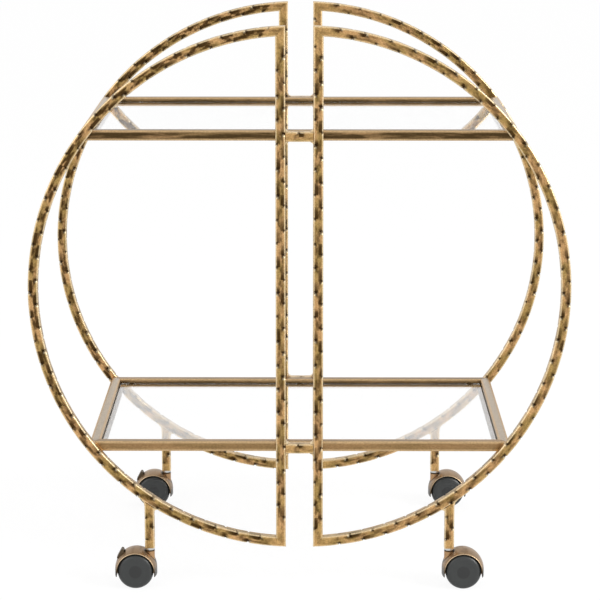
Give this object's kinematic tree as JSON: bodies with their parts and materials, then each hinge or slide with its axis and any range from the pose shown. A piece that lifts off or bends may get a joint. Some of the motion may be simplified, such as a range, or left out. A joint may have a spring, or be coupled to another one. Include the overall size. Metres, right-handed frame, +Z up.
{
  "type": "bar cart",
  "caption": "Round bar cart of half-moon square-tube hoops carrying upper and lower glass shelves, on hooded twin-wheel swivel casters with foot brakes on the left.",
  "frame": {"origin": "on the floor, under the middle of the cart", "axes": "+Z up, +X across the cart from left to right, +Y from the front hoops to the rear hoops"},
  "size_m": [0.771, 0.4466, 0.8138],
  "materials": {
    "hammered_brass": "antique brass on hammered steel tube, dark in the dents, bright on the edges",
    "satin_brass": "smooth antique brass, lightly brushed",
    "clear_glass": "clear, polished",
    "clear_pad": "clear soft bumper",
    "bronze_hood": "satin antique bronze",
    "dark_bronze": "dark satin bronze",
    "black_nylon": "satin moulded",
    "plated_steel": "bright plated"
  },
  "bodies": {
    "frame": {"front_left_arc": "hammered_brass", "front_left_post": "hammered_brass", "front_left_leg": "hammered_brass", "front_right_arc": "hammered_brass", "front_right_post": "hammered_brass", "front_right_leg": "hammered_brass", "rear_left_arc": "hammered_brass", "rear_left_post": "hammered_brass", "rear_left_leg": "hammered_brass", "rear_right_arc": "hammered_brass", "rear_right_post": "hammered_brass", "rear_right_leg": "hammered_brass", "front_upper_bridge": "hammered_brass", "rear_upper_bridge": "hammered_brass", "upper_shelf_front_rail": "satin_brass", "upper_shelf_rear_rail": "satin_brass", "upper_shelf_left_rail": "satin_brass", "upper_shelf_right_rail": "satin_brass", "upper_shelf_ledge": "satin_brass", "upper_shelf_pads": "clear_pad", "upper_shelf_glass": "clear_glass", "front_lower_bridge": "hammered_brass", "rear_lower_bridge": "hammered_brass", "lower_shelf_front_rail": "satin_brass", "lower_shelf_rear_rail": "satin_brass", "lower_shelf_left_rail": "satin_brass", "lower_shelf_right_rail": "satin_brass", "lower_shelf_ledge": "satin_brass", "lower_shelf_pads": "clear_pad", "lower_shelf_glass": "clear_glass", "caster_stems": "plated_steel"},
    "front_left_caster": {"front_left_caster_hood": "bronze_hood", "front_left_caster_axle": "plated_steel", "front_left_brake_pin": "plated_steel"},
    "front_left_front_wheel": {"front_left_caster_front_wheel": "black_nylon"},
    "front_left_rear_wheel": {"front_left_caster_rear_wheel": "black_nylon"},
    "front_left_brake": {"front_left_brake_lever": "dark_bronze"},
    "front_right_caster": {"front_right_caster_hood": "bronze_hood", "front_right_caster_axle": "plated_steel"},
    "front_right_front_wheel": {"front_right_caster_front_wheel": "black_nylon"},
    "front_right_rear_wheel": {"front_right_caster_rear_wheel": "black_nylon"},
    "rear_left_caster": {"rear_left_caster_hood": "bronze_hood", "rear_left_caster_axle": "plated_steel", "rear_left_brake_pin": "plated_steel"},
    "rear_left_front_wheel": {"rear_left_caster_front_wheel": "black_nylon"},
    "rear_left_rear_wheel": {"rear_left_caster_rear_wheel": "black_nylon"},
    "rear_left_brake": {"rear_left_brake_lever": "dark_bronze"},
    "rear_right_caster": {"rear_right_caster_hood": "bronze_hood", "rear_right_caster_axle": "plated_steel"},
    "rear_right_front_wheel": {"rear_right_caster_front_wheel": "black_nylon"},
    "rear_right_rear_wheel": {"rear_right_caster_rear_wheel": "black_nylon"}
  },
  "joints": [
    {"name": "front_left_swivel", "type": "hinge", "parent": "frame", "child": "front_left_caster", "pos_m": [-0.217, -0.20275, 0.058], "axis": [0, 0, 1], "continuous": true},
    {"name": "front_left_front_roll", "type": "hinge", "parent": "front_left_caster", "child": "front_left_front_wheel", "pos_m": [-0.2375, -0.20275, 0.026], "axis": [0, 1, 0], "continuous": true},
    {"name": "front_left_rear_roll", "type": "hinge", "parent": "front_left_caster", "child": "front_left_rear_wheel", "pos_m": [-0.2375, -0.20275, 0.026], "axis": [0, 1, 0], "continuous": true},
    {"name": "front_left_brake_press", "type": "hinge", "parent": "front_left_caster", "child": "front_left_brake", "pos_m": [-0.2547, -0.20275, 0.03805], "axis": [0, -1, 0], "range_deg": [0, 25]},
    {"name": "front_right_swivel", "type": "hinge", "parent": "frame", "child": "front_right_caster", "pos_m": [0.217, -0.20275, 0.058], "axis": [0, 0, 1], "continuous": true},
    {"name": "front_right_front_roll", "type": "hinge", "parent": "front_right_caster", "child": "front_right_front_wheel", "pos_m": [0.2375, -0.20275, 0.026], "axis": [0, 1, 0], "continuous": true},
    {"name": "front_right_rear_roll", "type": "hinge", "parent": "front_right_caster", "child": "front_right_rear_wheel", "pos_m": [0.2375, -0.20275, 0.026], "axis": [0, 1, 0], "continuous": true},
    {"name": "rear_left_swivel", "type": "hinge", "parent": "frame", "child": "rear_left_caster", "pos_m": [-0.217, 0.20275, 0.058], "axis": [0, 0, 1], "continuous": true},
    {"name": "rear_left_front_roll", "type": "hinge", "parent": "rear_left_caster", "child": "rear_left_front_wheel", "pos_m": [-0.2375, 0.20275, 0.026], "axis": [0, 1, 0], "continuous": true},
    {"name": "rear_left_rear_roll", "type": "hinge", "parent": "rear_left_caster", "child": "rear_left_rear_wheel", "pos_m": [-0.2375, 0.20275, 0.026], "axis": [0, 1, 0], "continuous": true},
    {"name": "rear_left_brake_press", "type": "hinge", "parent": "rear_left_caster", "child": "rear_left_brake", "pos_m": [-0.2547, 0.20275, 0.03805], "axis": [0, -1, 0], "range_deg": [0, 25]},
    {"name": "rear_right_swivel", "type": "hinge", "parent": "frame", "child": "rear_right_caster", "pos_m": [0.217, 0.20275, 0.058], "axis": [0, 0, 1], "continuous": true},
    {"name": "rear_right_front_roll", "type": "hinge", "parent": "rear_right_caster", "child": "rear_right_front_wheel", "pos_m": [0.2375, 0.20275, 0.026], "axis": [0, 1, 0], "continuous": true},
    {"name": "rear_right_rear_roll", "type": "hinge", "parent": "rear_right_caster", "child": "rear_right_rear_wheel", "pos_m": [0.2375, 0.20275, 0.026], "axis": [0, 1, 0], "continuous": true}
  ]
}
